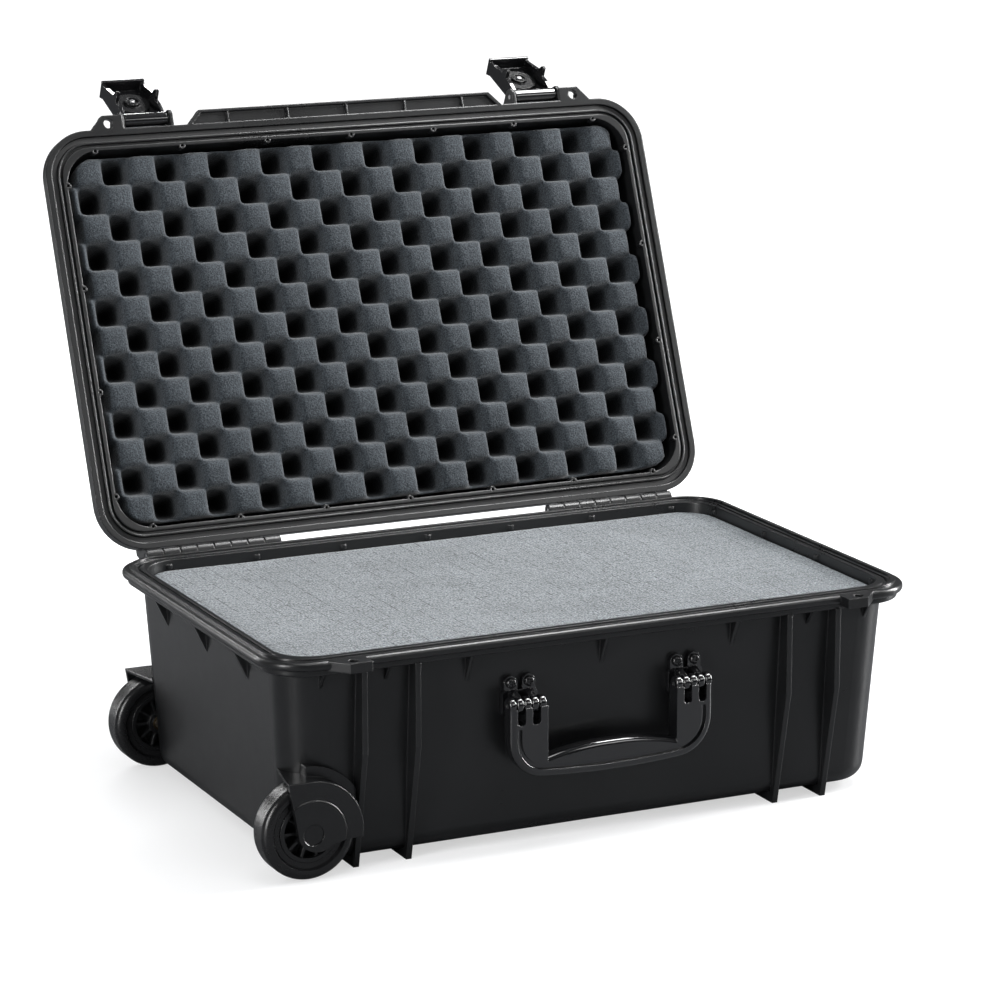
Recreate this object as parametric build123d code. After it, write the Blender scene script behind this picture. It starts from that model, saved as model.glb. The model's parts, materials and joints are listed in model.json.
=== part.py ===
"""Wheeled hard equipment case, one STEP file per piece.

Millimetres, +Z up. The origin is the middle of the base's footprint on the ground.
+X is the end where the pull handle slides out, -X the wheel end,
-Y the front with the latches and the carry handle, +Y the hinge side.
The case is drawn as it stands at rest: lid swung open, latches flipped open,
pull handle pushed in, carry handles hanging down.
Lid pieces are drawn closed and then swung about the hinge axis.
"""
from build123d import *
import math
import os

# ---- driving dimensions -------------------------------------------------------------
LENGTH = 559.0            # outside of the rim, along X
WIDTH = 356.0             # outside of the rim, along Y
RIM_Z = 172.0             # height of the base's rim plane
LID_RISE = 63.0           # rim plane to the top of the closed lid
LID_OPEN = 112.0          # how far the lid is swung at rest, degrees
LATCH_OPEN = 135.0        # how far a latch is flipped at rest, degrees
WALL = 4.0                # skin thickness
RIM_BAND = 12.0           # height of the thick band round each rim
RIM_ROLL = 7.0            # height of the rounded flange on top of the base's band
BAND_STEP = 4.5           # the base's band is this much behind its flange
RIM_RADIUS = 40.0         # plan corner radius of the rims
BEAD = (6.0, 9.5)         # sealing bead on the base, set in from the rim's outline
SEAL_GROOVE = (5.3, 10.2) # groove for the gasket in the lid's rim
SECOND_GROOVE = (12.0, 14.6)    # relief groove inside the seal, in both rims
SKIN_Z = 6.0              # underside of the base skin, above the ground
TOP_INSET = 14.0          # wall behind the rim, at the top of the base
FOOT_INSET = 24.0         # wall behind the rim, at the bottom of the base
CLEAR = 0.4               # gap between pieces that sit against each other
RUNNING = 0.15            # gap on the radius round a pin or a screw
ROUND_FOOT = 15.0         # radius along the tub's bottom edges
EDGE_ROUND = 3.0          # rounding along the rims and plates

HALF_L = LENGTH / 2
HALF_W = WIDTH / 2
END_SHIFT = HALF_L - HALF_W     # the end wall stands this much further out than the front
LID_Z = RIM_Z + CLEAR     # lower face of the closed lid's rim
BAND_Z = RIM_Z - RIM_BAND
LID_BAND_Z = LID_Z + RIM_BAND
LID_TOP = RIM_Z + LID_RISE

# ribs and gussets: their thickness
BASE_RIB = 4.6
GUSSET = 3.0
SMALL_GUSSET = 2.4
LID_RIB = 3.0
ACROSS_RIB = 2.6

# hinge
HINGE_Y = HALF_W + 6.0
HINGE_Z = RIM_Z - 1.0
HINGE_PIN_R = 2.0
KNUCKLE_R = 5.3
KNUCKLE_PITCH = 15.0
KNUCKLES = 8
HINGE_START = 125.0

# latches
LATCH_X = 183.0
LATCH_RIB = 22.0          # rib middle to latch middle
LATCH_Y = -(HALF_W + 8.0)
LATCH_Z = RIM_Z + 8.0
LATCH_HALF = 19.0
LATCH_PIN_R = 2.0
LATCH_REACH = 58.0
KNOB_DROP = 23.0          # knob middle below the rim plane
KNOB_R = 13.9
KNOB_BACK_R = 7.0         # ring round the rivet on the knob's back
RIVET_R = 2.6
EAR_X = 218.0
EAR_HOLE_R = 4.0
EAR_Y = -(HALF_W + 5.0)

# carry handles
GRIP_SPAN = 176.0
ARM_WIDTH = 32.0
GRIP_Z = 118.0            # pivot height
GRIP_STAND = 15.0         # pivot in front of the wall
GRIP_DROP = 61.0
GRIP_THICK = 14.0
GRIP_PIN_R = 2.0
KNUCKLE_END_R = 6.4       # round ends of a handle's arms and of its lugs
GRIP_KNUCKLE = ARM_WIDTH / 5
ARM_MIDDLE = GRIP_SPAN / 2 - ARM_WIDTH / 2
BRACKET_SCREW_Z = GRIP_Z + 15.0
BRACKET_SCREW_GAP = 7.7   # bracket screw to the middle of its arm
BRACKET_SCREW_R = 2.0
GRIP_CORNER = 31.0        # radius of the handle's two lower corners
GRIP_BOW = 700.0          # radius of its bottom edge

# pull handle
BLADE_HALF = 42.0
BLADE_Z0 = 10.0
BLADE_Z1 = 28.0
BLADE_START = -155.0
PULL_END = 272.0
BAIL_HALF = 69.0
BAIL_LENGTH = 131.0
CHANNEL_HALF = 44.0
CHANNEL_Z = 29.0
RAIL_IN = 28.0            # half width of the blade's recessed web
WEB_DEPTH = 6.5           # the web lies this deep in both faces
TRIGGER_Z = (BLADE_Z0 + BLADE_Z1) / 2
POCKET_HALF = 74.0
POCKET_START = 138.0
PANEL_DEPTH = 0.8         # sunk panel in both faces of the top bar
SPRING_Y = 20.0           # trigger springs to the middle plane
COVER_HALF = 56.0
COVER_THICK = 2.5
COVER_SCREW_R = 1.5
COVER_SCREW_HEAD_R = 3.4

# wheels
WHEEL_X = -249.0
WHEEL_Z = 38.5
WHEEL_R = 38.0
TYRE_IN = 146.0           # inner side of a tyre, from the middle plane
TYRE_OUT = 171.0
AXLE_R = 4.0
HUB_R = 24.0
SPOKES = 10
FENDER_R = 39.2
FENDER_SKIN = 2.3
COVER_Y0 = 172.4          # inner and outer face of the wheel cover
COVER_Y1 = 176.6
DISC_R = 27.0             # raised disc on the wheel cover
WELL_R = 40.5             # wheel well in the tub
WELL_Y = 143.5            # inner end of the well
LINER_R = 50.0            # plastic round the well
AXLE_BOSS_Y = 131.5       # inner end of the boss that holds the axle
AXLE_HEAD_R = 6.0
BUSH_R = 6.0
FENDER_SCREWS = (38.0, 72.0)   # degrees round the axle
FENDER_SCREW_R = 45.0
FLANGE_R = 49.5           # flange of the fender against the wall
AXLE_END = 174.4
CLIP_Y = 171.0            # inner side of the axle's retaining ring

# foam
FOAM_GAP = 5.2            # foam behind the outside of the wall
FOAM_TOP = RIM_Z - 8.0
FOAM_CORNER = 30.5        # plan corner radius of the foam's top
PAD_TOP = 45.0
PAD_LOW = SKIN_Z + WALL + 8.0    # clear of the fillet round the tub's floor

# pressure valve
VALVE_Y = 128.0
VALVE_Z = 128.0
VALVE_STEM_R = 7.0
VALVE_KNOB_R = 11.0

# screw bosses inside the rims
BOSS_R = 2.8
BOSS_HOLE_R = 1.2
BOSS_STEP = 68.0


# ---- helpers ------------------------------------------------------------------------
def plan(inset_x, inset_y, radius, height):
    """Rounded rectangle, set in from the rim's outline, lying at a height."""
    outline = RectangleRounded(LENGTH - 2 * inset_x, WIDTH - 2 * inset_y, radius)
    return Pos(0, 0, height) * outline


def slab(inset, radius, low, high):
    """Plate with the case's rounded outline between two heights."""
    return extrude(plan(inset, inset, radius, low), high - low)


def ring(inset, low, high):
    """Frame that follows the rim, between two insets and two heights."""
    outer = slab(inset[0], RIM_RADIUS - inset[0], low, high)
    return outer - slab(inset[1], RIM_RADIUS - inset[1], low - 1, high + 1)


def plate_x(points, middle, thickness):
    """Flat plate square to X. Its outline is given as (y, z) points."""
    outline = Plane.YZ.offset(middle - thickness / 2) * make_face(Polyline(*points, close=True))
    return extrude(outline, thickness, dir=(1, 0, 0))


def plate_y(points, low, high):
    """Flat plate square to Y. Its outline is given as (x, z) points."""
    outline = make_face(Polyline(*[(x, low, z) for x, z in points], close=True))
    return extrude(outline, high - low, dir=(0, 1, 0))


def plate_z(points, low, high):
    """Flat plate square to Z. Its outline is given as (x, y) points."""
    outline = make_face(Polyline(*[(x, y, low) for x, y in points], close=True))
    return extrude(outline, high - low, dir=(0, 0, 1))


def block(x, y, z):
    """Box given as (low, high) pairs."""
    size = Box(x[1] - x[0], y[1] - y[0], z[1] - z[0])
    return Pos((x[0] + x[1]) / 2, (y[0] + y[1]) / 2, (z[0] + z[1]) / 2) * size


def rod_x(radius, x0, x1, y, z):
    """Round bar along X."""
    return Pos((x0 + x1) / 2, y, z) * Rot(0, 90, 0) * Cylinder(radius, abs(x1 - x0))


def rod_y(radius, y0, y1, x, z):
    """Round bar along Y."""
    return Pos(x, (y0 + y1) / 2, z) * Rot(90, 0, 0) * Cylinder(radius, abs(y1 - y0))


def rod_z(radius, z0, z1, x, y):
    """Round bar along Z."""
    return Pos(x, y, (z0 + z1) / 2) * Cylinder(radius, abs(z1 - z0))


def open_lid(shape):
    """Swing a piece of the closed lid to its rest place."""
    return shape.rotate(Axis((0, HINGE_Y, HINGE_Z), (1, 0, 0)), -LID_OPEN)


def open_latch(shape):
    """Flip a closed latch piece open, then swing it with the lid."""
    flipped = shape.rotate(Axis((0, LATCH_Y, LATCH_Z), (1, 0, 0)), -LATCH_OPEN)
    return open_lid(flipped)


def save(name, *shapes):
    """Write one node. Several separate solids make one group."""
    solids = [solid for shape in shapes for solid in shape.solids()]
    whole = solids[0] if len(solids) == 1 else Compound(solids)
    export_step(whole, "parts/" + name + ".step")


def wall_inset(height):
    """How far the base's outer wall is behind the rim at a height."""
    share = (BAND_Z - height) / (BAND_Z - SKIN_Z)
    return TOP_INSET + (FOOT_INSET - TOP_INSET) * share


def around_rim(step, inset, skip_corner):
    """Places along the four straight sides of the rim, evenly spaced."""
    places = []
    for half, other, turned in ((HALF_L, HALF_W, False), (HALF_W, HALF_L, True)):
        reach = half - skip_corner
        count = int(2 * reach // step)
        for i in range(count + 1):
            along = (i - count / 2) * (2 * reach / count)
            for side in (-1, 1):
                across = side * (other - inset)
                places.append((across, along) if turned else (along, across))
    return places


# ---- base ---------------------------------------------------------------------------
def base_outer(grow=0.0):
    """Drafted tub without its rim: walls leaning in towards the bottom."""
    low = plan(FOOT_INSET - grow, FOOT_INSET - grow, 32.0, SKIN_Z)
    high = plan(TOP_INSET - grow, TOP_INSET - grow, 34.0, RIM_Z - 2)
    body = loft([low, high], ruled=True)
    bottom = body.faces().sort_by(Axis.Z)[0]
    return fillet(bottom.edges(), ROUND_FOOT)


def base_hollow():
    """Inside of the tub."""
    low = plan(FOOT_INSET + WALL, FOOT_INSET + WALL, 28.0, SKIN_Z + WALL)
    high = plan(TOP_INSET + WALL, TOP_INSET + WALL, 30.0, RIM_Z + 2)
    body = loft([low, high], ruled=True)
    bottom = body.faces().sort_by(Axis.Z)[0]
    return fillet(bottom.edges(), ROUND_FOOT - WALL)


def handle_hump(grow=0.0):
    """Raised part of the tub's floor that makes room for the pull handle."""
    skin = 3.5 + grow
    rail = block((BLADE_START - 6 - skin, HALF_L), (-COVER_HALF - skin, COVER_HALF + skin),
                 (0, CHANNEL_Z + skin))
    mouth = block((POCKET_START - skin, HALF_L), (-POCKET_HALF - skin, POCKET_HALF + skin),
                  (0, CHANNEL_Z + skin))
    return rail + mouth


def handle_channel():
    """Room for the blade, for its cover plate and for the bail."""
    rail = block((BLADE_START - 5, HALF_L), (-CHANNEL_HALF, CHANNEL_HALF), (-1, CHANNEL_Z))
    cover = block((BLADE_START - 12, POCKET_START - 1), (-COVER_HALF, COVER_HALF),
                  (-1, SKIN_Z + COVER_THICK + 0.2))
    mouth = block((POCKET_START, HALF_L), (-POCKET_HALF, POCKET_HALF), (-1, CHANNEL_Z))
    return rail + cover + mouth


def front_rib(x, out):
    """Latch rib on the base: upright, then sloping in to the foot."""
    points = [(-(HALF_W - 26), 0), (-(HALF_W - 23), 0), (-(HALF_W - out), 95),
              (-(HALF_W - out), BAND_Z + 1), (-(HALF_W - 17), BAND_Z + 1),
              (-(HALF_W - 27), 9)]
    return plate_x(points, x, BASE_RIB)


def base_ribs():
    """Latch ribs at the front, matching ribs at the hinge side, and the foot rails."""
    ribs = []
    for side in (-1, 1):
        for offset in (-LATCH_RIB, LATCH_RIB):
            x = side * LATCH_X + offset
            rib = front_rib(x, 3.5)
            ribs.append(rib)
            ribs.append(mirror(front_rib(x, 3.5), about=Plane.XZ))
            for edge in (-1, 1):
                y0 = edge * 80.0
                y1 = edge * (HALF_W - 25)
                rail = block((x - BASE_RIB / 2, x + BASE_RIB / 2), sorted((y0, y1)), (0, SKIN_Z + 2))
                ribs.append(rail)
    return ribs


def base_gussets():
    """Small triangular gussets under the rim band."""
    gussets = []
    inner = HALF_W - TOP_INSET - 2
    for x in (-115, 0, 115):
        points = [(-inner, BAND_Z + 1), (-(HALF_W - 5), BAND_Z + 1), (-inner, BAND_Z - 22)]
        front = plate_x(points, x, GUSSET)
        gussets.append(front)
        gussets.append(mirror(front, about=Plane.XZ))
    for x in (-236, -183, 183, 236):
        points = [(-inner, BAND_Z + 1), (-(HALF_W - 6), BAND_Z + 1), (-inner, BAND_Z - 13)]
        gussets.append(plate_x(points, x, SMALL_GUSSET))
    inner = HALF_L - TOP_INSET - 2
    for y in (-85, 0, 85):
        points = [(inner, BAND_Z + 1), (HALF_L - 5, BAND_Z + 1), (inner, BAND_Z - 22)]
        right = plate_y(points, y - GUSSET / 2, y + GUSSET / 2)
        gussets.append(right)
        gussets.append(mirror(right, about=Plane.YZ))
    return gussets


def base_knuckles():
    """Hinge knuckles on the base, every other place from the ends inwards."""
    knuckles = []
    for side in (-1, 1):
        for i in range(0, KNUCKLES, 2):
            x0 = HINGE_START + i * KNUCKLE_PITCH + CLEAR
            x1 = x0 + KNUCKLE_PITCH - 2 * CLEAR
            ends = sorted((side * x0, side * x1))
            knuckles.append(rod_x(KNUCKLE_R, ends[0], ends[1], HINGE_Y, HINGE_Z))
            points = [(HALF_W - 8, HINGE_Z - 1), (HINGE_Y, HINGE_Z - 1),
                      (HINGE_Y, HINGE_Z - KNUCKLE_R), (HALF_W - 8, HINGE_Z - 12)]
            knuckles.append(plate_x(points, (ends[0] + ends[1]) / 2, ends[1] - ends[0]))
    return knuckles


def hinge_bore():
    """Bore for the hinge pins, slightly larger than a pin."""
    reach = HINGE_START + KNUCKLES * KNUCKLE_PITCH + 1
    return rod_x(HINGE_PIN_R + RUNNING, -reach, reach, HINGE_Y, HINGE_Z)


def ear(x, low, high):
    """Padlock ear beside a latch."""
    side = 1 if x > 0 else -1
    inner = abs(x) - 13
    points = [(side * inner, -(HALF_W - 4)), (side * inner, -(HALF_W + 12)),
              (side * (abs(x) + 5), -(HALF_W + 12)), (side * (abs(x) + 19), -(HALF_W - 4))]
    return plate_z(points, low, high)


def wheel_liner(side, grow=0.0):
    """Plastic round a wheel well, with the axle boss behind it."""
    y0, y1 = sorted((side * (WELL_Y - 3.5 - grow), side * (HALF_W - 12)))
    wall = rod_y(LINER_R + grow, y0, y1, WHEEL_X, WHEEL_Z)
    b0, b1 = sorted((side * (AXLE_BOSS_Y - grow), side * WELL_Y))
    boss = rod_y(10.0 + grow, b0, b1, WHEEL_X, WHEEL_Z)
    return wall + boss


def screw_place(angle):
    """Where a fender screw sits, in X and Z."""
    turn = math.radians(angle)
    return (WHEEL_X + FENDER_SCREW_R * math.cos(turn), WHEEL_Z + FENDER_SCREW_R * math.sin(turn))


def rim_band():
    """Rounded flange round the rim with a narrower band below it."""
    flange = slab(0, RIM_RADIUS, RIM_Z - RIM_ROLL, RIM_Z)
    flange = fillet(flange.edges().group_by(Axis.Z)[0], EDGE_ROUND)
    flange = fillet(flange.edges().group_by(Axis.Z)[-1], EDGE_ROUND)
    band = slab(BAND_STEP, RIM_RADIUS - BAND_STEP, BAND_Z, RIM_Z - 2)
    return flange + fillet(band.edges().group_by(Axis.Z)[0], 1.5)


def base_shell():
    """Tub of the case, moulded in one piece."""
    outer = base_outer()
    hollow = base_hollow() - handle_hump()
    for side in (-1, 1):
        hollow = hollow - wheel_liner(side)
    shell = outer + rim_band() + ring(BEAD, RIM_Z - 1, RIM_Z + 2)
    shell = shell - ring(SECOND_GROOVE, RIM_Z - 3, RIM_Z + 1)
    for piece in base_ribs() + base_gussets() + base_knuckles():
        shell = shell + piece
    for side in (-1, 1):
        shell = shell + ear(side * EAR_X, RIM_Z - 8, RIM_Z)
    shell = shell - hollow - handle_channel() - hinge_bore()
    for x, y in around_rim(BOSS_STEP, TOP_INSET + WALL, RIM_RADIUS + 6):
        boss = rod_z(BOSS_R, FOAM_TOP + 0.8, FOAM_TOP + 4.5, x, y)
        shell = shell + (boss - rod_z(BOSS_HOLE_R, FOAM_TOP, FOAM_TOP + 6, x, y))
    for side in (-1, 1):
        y0, y1 = sorted((side * WELL_Y, side * (HALF_W + 20)))
        shell = shell - rod_y(WELL_R, y0, y1, WHEEL_X, WHEEL_Z)
        shell = shell - block((WHEEL_X - 60, WHEEL_X), (y0, y1), (-5, WHEEL_Z))
        a0, a1 = sorted((side * 120, side * 150))
        shell = shell - rod_y(AXLE_R + RUNNING, a0, a1, WHEEL_X, WHEEL_Z)
        h0, h1 = sorted((side * (AXLE_BOSS_Y - 4.5), side * AXLE_BOSS_Y))
        shell = shell - rod_y(AXLE_HEAD_R + CLEAR, h0, h1, WHEEL_X, WHEEL_Z)
        for angle in FENDER_SCREWS:
            x, z = screw_place(angle)
            s0, s1 = sorted((side * 130, side * 165))
            shell = shell - rod_y(COVER_SCREW_R + CLEAR, s0, s1, x, z)
        shell = shell - rod_z(EAR_HOLE_R, RIM_Z - 20, RIM_Z + 5, side * EAR_X, EAR_Y)
    for x, y in cover_screw_places():
        shell = shell - rod_z(COVER_SCREW_R + RUNNING, 0, SKIN_Z + 18, x, y)
    for shaft in bracket_shafts(RUNNING):
        shell = shell - shaft
    return shell - rod_x(VALVE_STEM_R + 0.2, HALF_L - 40, HALF_L, VALVE_Y, VALVE_Z)


# ---- pull handle, its cover and screws ----------------------------------------------
def cover_screw_places():
    """Screws of the channel cover, two rows."""
    return [(x, y) for x in (-150, -80, -10, 60, 128) for y in (-50, 50)]


def channel_cover():
    """Plate that closes the blade's channel from below, with a foot in its middle."""
    plate = block((BLADE_START - 11.5, POCKET_START - 1.5),
                  (-COVER_HALF + CLEAR, COVER_HALF - CLEAR), (SKIN_Z, SKIN_Z + COVER_THICK))
    for x, y in cover_screw_places():
        plate = plate - rod_z(COVER_SCREW_HEAD_R + 0.3, SKIN_Z - 1, SKIN_Z + 1.3, x, y)
        plate = plate - rod_z(COVER_SCREW_R + RUNNING, SKIN_Z - 1, SKIN_Z + 4, x, y)
    for x in (-125, -45, 45, 95):
        plate = plate - block((x - 1, x + 1), (-30, 30), (SKIN_Z - 1, SKIN_Z + 0.8))
    foot = block((-6, 6), (-45, 45), (0, SKIN_Z + 0.5))
    return plate + fillet(foot.edges().filter_by(Axis.Z), EDGE_ROUND)


def cover_screws():
    """Pan-head screws that hold the channel cover."""
    screws = []
    for x, y in cover_screw_places():
        head = rod_z(COVER_SCREW_HEAD_R, SKIN_Z - 0.6, SKIN_Z + 1.2, x, y)
        screws.append(head + rod_z(COVER_SCREW_R, SKIN_Z + 1, SKIN_Z + 15, x, y))
    return screws


def bail_outline():
    """Outer edge of the pull handle seen from below: blade, flare and rounded top bar."""
    shoulder = PULL_END - BAIL_LENGTH
    flank = Spline((shoulder, BLADE_HALF), (PULL_END - 92, 57), (PULL_END - 52, BAIL_HALF),
                   (PULL_END - 17, 61), (PULL_END, 34), tangents=[(1, 0.12), (0, -1)])
    side = Polyline((BLADE_START, 0), (BLADE_START, BLADE_HALF), (shoulder, BLADE_HALF))
    top = Line((PULL_END, 34), (PULL_END, 0))
    half = make_face(side + flank + top + Line((PULL_END, 0), (BLADE_START, 0)))
    return half + mirror(half, about=Plane.XZ)


def bail_opening():
    """Finger opening of the bail: both long edges bow towards the blade."""
    high = PULL_END - 30
    low = PULL_END - 70
    edge = Spline((high, 0), (high + 3, 38), (high - 11, 56), (low + 16, 56), (low + 3, 36),
                  (low - 2, 0), tangents=[(0, 1), (0, -1)])
    half = make_face(edge + Line((low - 2, 0), (high, 0)))
    return half + mirror(half, about=Plane.XZ)


def flank_recess(side):
    """Recess between a rail of the blade and the rim strip of the bail."""
    shoulder = PULL_END - BAIL_LENGTH
    strip = Spline((shoulder + 18, BLADE_HALF + 1.5), (PULL_END - 92, 50), (PULL_END - 60, 61.5))
    close = Polyline(strip @ 1, (PULL_END - 60, BLADE_HALF + 1.5), strip @ 0)
    face = make_face(strip + close)
    return face if side > 0 else mirror(face, about=Plane.XZ)


def pull_handle():
    """Blade and bail of the pull handle, one moulding."""
    body = extrude(Pos(0, 0, BLADE_Z0) * bail_outline(), BLADE_Z1 - BLADE_Z0)
    body = body - extrude(bail_opening(), 2 * BLADE_Z1)
    body = fillet(body.edges().filter_by(GeomType.BSPLINE), 4.0)
    panel = block((PULL_END - 20, PULL_END - 9), (-46, 46), (0, 2 * BLADE_Z1))
    panel = fillet(panel.edges().filter_by(Axis.Z), 5.0)
    for web, skin in (((BLADE_Z0 - 1, BLADE_Z0 + WEB_DEPTH), (BLADE_Z0 - 1, BLADE_Z0 + PANEL_DEPTH)),
                      ((BLADE_Z1 - WEB_DEPTH, BLADE_Z1 + 1), (BLADE_Z1 - PANEL_DEPTH, BLADE_Z1 + 1))):
        body = body - block((BLADE_START + 12, PULL_END - 60), (-RAIL_IN, RAIL_IN), web)
        for side in (-1, 1):
            body = body - extrude(Pos(0, 0, web[0]) * flank_recess(side), web[1] - web[0])
        body = body - (panel & block((BLADE_START, PULL_END), (-60, 60), skin))
    trigger_room = block((PULL_END - 40, PULL_END - 19), (-33, 33), (BLADE_Z0 + 3, BLADE_Z1 - 3))
    body = body - trigger_room
    for side in (-1, 1):
        body = body - rod_x(2.7, PULL_END - 20, PULL_END - 10, side * SPRING_Y, TRIGGER_Z)
    return body


def handle_trigger():
    """Release bar under the bail's top bar, squeezed towards the end of the handle."""
    bar = block((PULL_END - 36, PULL_END - 24), (-32.5, 32.5), (BLADE_Z0 + 3.5, BLADE_Z1 - 3.5))
    return fillet(bar.edges().filter_by(Axis.Y), 2.5)


def trigger_springs():
    """Two coil springs that push the release bar back, drawn as plain sleeves."""
    springs = []
    for side in (-1, 1):
        coil = rod_x(2.4, PULL_END - 18.5, PULL_END - 10.4, side * SPRING_Y, TRIGGER_Z)
        springs.append(coil - rod_x(1.4, PULL_END - 19, PULL_END - 10, side * SPRING_Y, TRIGGER_Z))
    return springs


def blade_bumpers():
    """Rubber pads on the inner end of the blade, which stop it at full reach."""
    pads = []
    for side in (-1, 1):
        pads.append(block((BLADE_START - 3.5, BLADE_START - 0.2), (side * 34 - 6, side * 34 + 6),
                          (BLADE_Z0 + 3, BLADE_Z1 - 3)))
    return pads


# ---- wheels -------------------------------------------------------------------------
def polar(radius, angle):
    """Point round the axle, in X and Z."""
    turn = math.radians(angle)
    return (WHEEL_X + radius * math.cos(turn), COVER_Y0, WHEEL_Z + radius * math.sin(turn))


def fender_cover():
    """Outer plate of a wheel housing: raised disc, dished middle and a squared rear corner."""
    top = WHEEL_Z + FENDER_R + FENDER_SKIN
    outer = FENDER_R + FENDER_SKIN
    arc = ThreePointArc(polar(outer, 90), polar(outer, 42), polar(outer, -10))
    corner = (arc @ 1).Z
    tail = Polyline(arc @ 1, (WHEEL_X + 25, COVER_Y0, corner), (WHEEL_X + 15, COVER_Y0, WHEEL_Z - 10))
    lobe = ThreePointArc(tail @ 1, (WHEEL_X + 1, COVER_Y0, WHEEL_Z - 13.5), polar(12, 195))
    front = Polyline(lobe @ 1, (WHEEL_X - 19, COVER_Y0, top), arc @ 0)
    plate = extrude(make_face(arc + tail + lobe + front), COVER_Y1 - COVER_Y0, dir=(0, 1, 0))
    plate = fillet(plate.faces().sort_by(Axis.Y)[-1].edges(), 0.9)
    disc = rod_y(DISC_R, COVER_Y1 - 1, COVER_Y1 + 1.2, WHEEL_X, WHEEL_Z)
    disc = fillet(disc.edges().sort_by(Axis.Y)[-1], 0.9)
    inside = extrude(make_face(arc + tail + lobe + front), COVER_Y1 - COVER_Y0 + 3, dir=(0, 1, 0))
    dish = Pos(WHEEL_X, COVER_Y1 + 1.3, WHEEL_Z) * Rot(90, 0, 0) * Cone(7.0, 9.0, 1.8)
    return plate + (disc & inside) - dish


def fender(side):
    """Wheel housing: outer cover, hoop over the tyre, flange at the wall, ledge above it."""
    outer = FENDER_R + FENDER_SKIN
    hoop = rod_y(outer, 150, COVER_Y0 + 0.1, WHEEL_X, WHEEL_Z)
    hoop = hoop - rod_y(FENDER_R, 140, 180, WHEEL_X, WHEEL_Z)
    hoop = hoop & block((WHEEL_X, WHEEL_X + 60), (100, 180), (WHEEL_Z - 7, WHEEL_Z + 60))
    flange = rod_y(FLANGE_R, 150, 163, WHEEL_X, WHEEL_Z)
    flange = flange - rod_y(outer - 1, 140, 180, WHEEL_X, WHEEL_Z)
    flange = flange & block((WHEEL_X, WHEEL_X + 60), (100, 180), (WHEEL_Z + 18, WHEEL_Z + 60))
    ledge = plate_z([(WHEEL_X + 0.5, 140), (WHEEL_X + 0.5, COVER_Y0 + 0.1),
                     (WHEEL_X - 19, COVER_Y0 + 0.1), (WHEEL_X - 11, 132)],
                    WHEEL_Z + FENDER_R, WHEEL_Z + outer)
    body = fender_cover() + hoop + flange + ledge - base_outer(CLEAR)
    rib = -LATCH_X - LATCH_RIB
    half = BASE_RIB / 2 + CLEAR
    body = body - block((rib - half, rib + half), (100, 190), (0, 100))
    body = body - rod_y(AXLE_R + RUNNING, 150, AXLE_END + 0.3, WHEEL_X, WHEEL_Z)
    for angle in FENDER_SCREWS:
        x, z = screw_place(angle)
        body = body - rod_y(COVER_SCREW_R + RUNNING, 150, 162.2, x, z)
    solid = body.solids().sort_by(SortBy.VOLUME)[-1]
    return solid if side > 0 else mirror(solid, about=Plane.XZ)


def fender_screws(side):
    """Screws from inside the tub into the fender."""
    screws = []
    for angle in FENDER_SCREWS:
        x, z = screw_place(angle)
        head = rod_y(COVER_SCREW_HEAD_R, 137.4, 139.8, x, z)
        screw = head + rod_y(COVER_SCREW_R, 139, 161.8, x, z)
        screws.append(screw if side > 0 else mirror(screw, about=Plane.XZ))
    return screws


def axle(side):
    """Stub axle with a head inside the tub and a clip groove near its outer end."""
    head = rod_y(AXLE_HEAD_R, AXLE_BOSS_Y - 2.5, AXLE_BOSS_Y - 0.3, WHEEL_X, WHEEL_Z)
    body = head + rod_y(AXLE_R, AXLE_BOSS_Y - 0.5, AXLE_END, WHEEL_X, WHEEL_Z)
    groove = rod_y(AXLE_R + 1, CLIP_Y - 0.05, CLIP_Y + 0.75, WHEEL_X, WHEEL_Z)
    body = body - (groove - rod_y(3.2, CLIP_Y - 1, CLIP_Y + 2, WHEEL_X, WHEEL_Z))
    return body if side > 0 else mirror(body, about=Plane.XZ)


def axle_clip(side):
    """Retaining ring in the axle's groove, between the hub and the housing."""
    clip = rod_y(6.5, CLIP_Y, CLIP_Y + 0.7, WHEEL_X, WHEEL_Z)
    clip = clip - rod_y(3.3, CLIP_Y - 1, CLIP_Y + 2, WHEEL_X, WHEEL_Z)
    clip = clip - block((WHEEL_X - 2, WHEEL_X + 2), (CLIP_Y - 1, CLIP_Y + 2), (WHEEL_Z - 10, WHEEL_Z))
    return clip if side > 0 else mirror(clip, about=Plane.XZ)


def wheel_hub(side):
    """Wheel centre with a rim, a thin web and radial spokes."""
    low = TYRE_IN + 1.5
    high = TYRE_OUT - 1.5
    middle = (low + high) / 2
    rim = rod_y(HUB_R, low, high, WHEEL_X, WHEEL_Z) - rod_y(20.5, 140, 180, WHEEL_X, WHEEL_Z)
    web = rod_y(21.0, middle - 1.5, middle + 1.5, WHEEL_X, WHEEL_Z)
    boss = rod_y(9.5, low - 0.8, high + 0.8, WHEEL_X, WHEEL_Z)
    hub = rim + web + boss
    for i in range(SPOKES):
        spoke = block((WHEEL_X + 8, WHEEL_X + 21), (low + 1.5, high - 1.5),
                      (WHEEL_Z - 1.1, WHEEL_Z + 1.1))
        hub = hub + spoke.rotate(Axis((WHEEL_X, 0, WHEEL_Z), (0, 1, 0)), 360 / SPOKES * i)
    hub = hub - rod_y(BUSH_R + 0.1, 140, 180, WHEEL_X, WHEEL_Z)
    return hub if side > 0 else mirror(hub, about=Plane.XZ)


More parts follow.
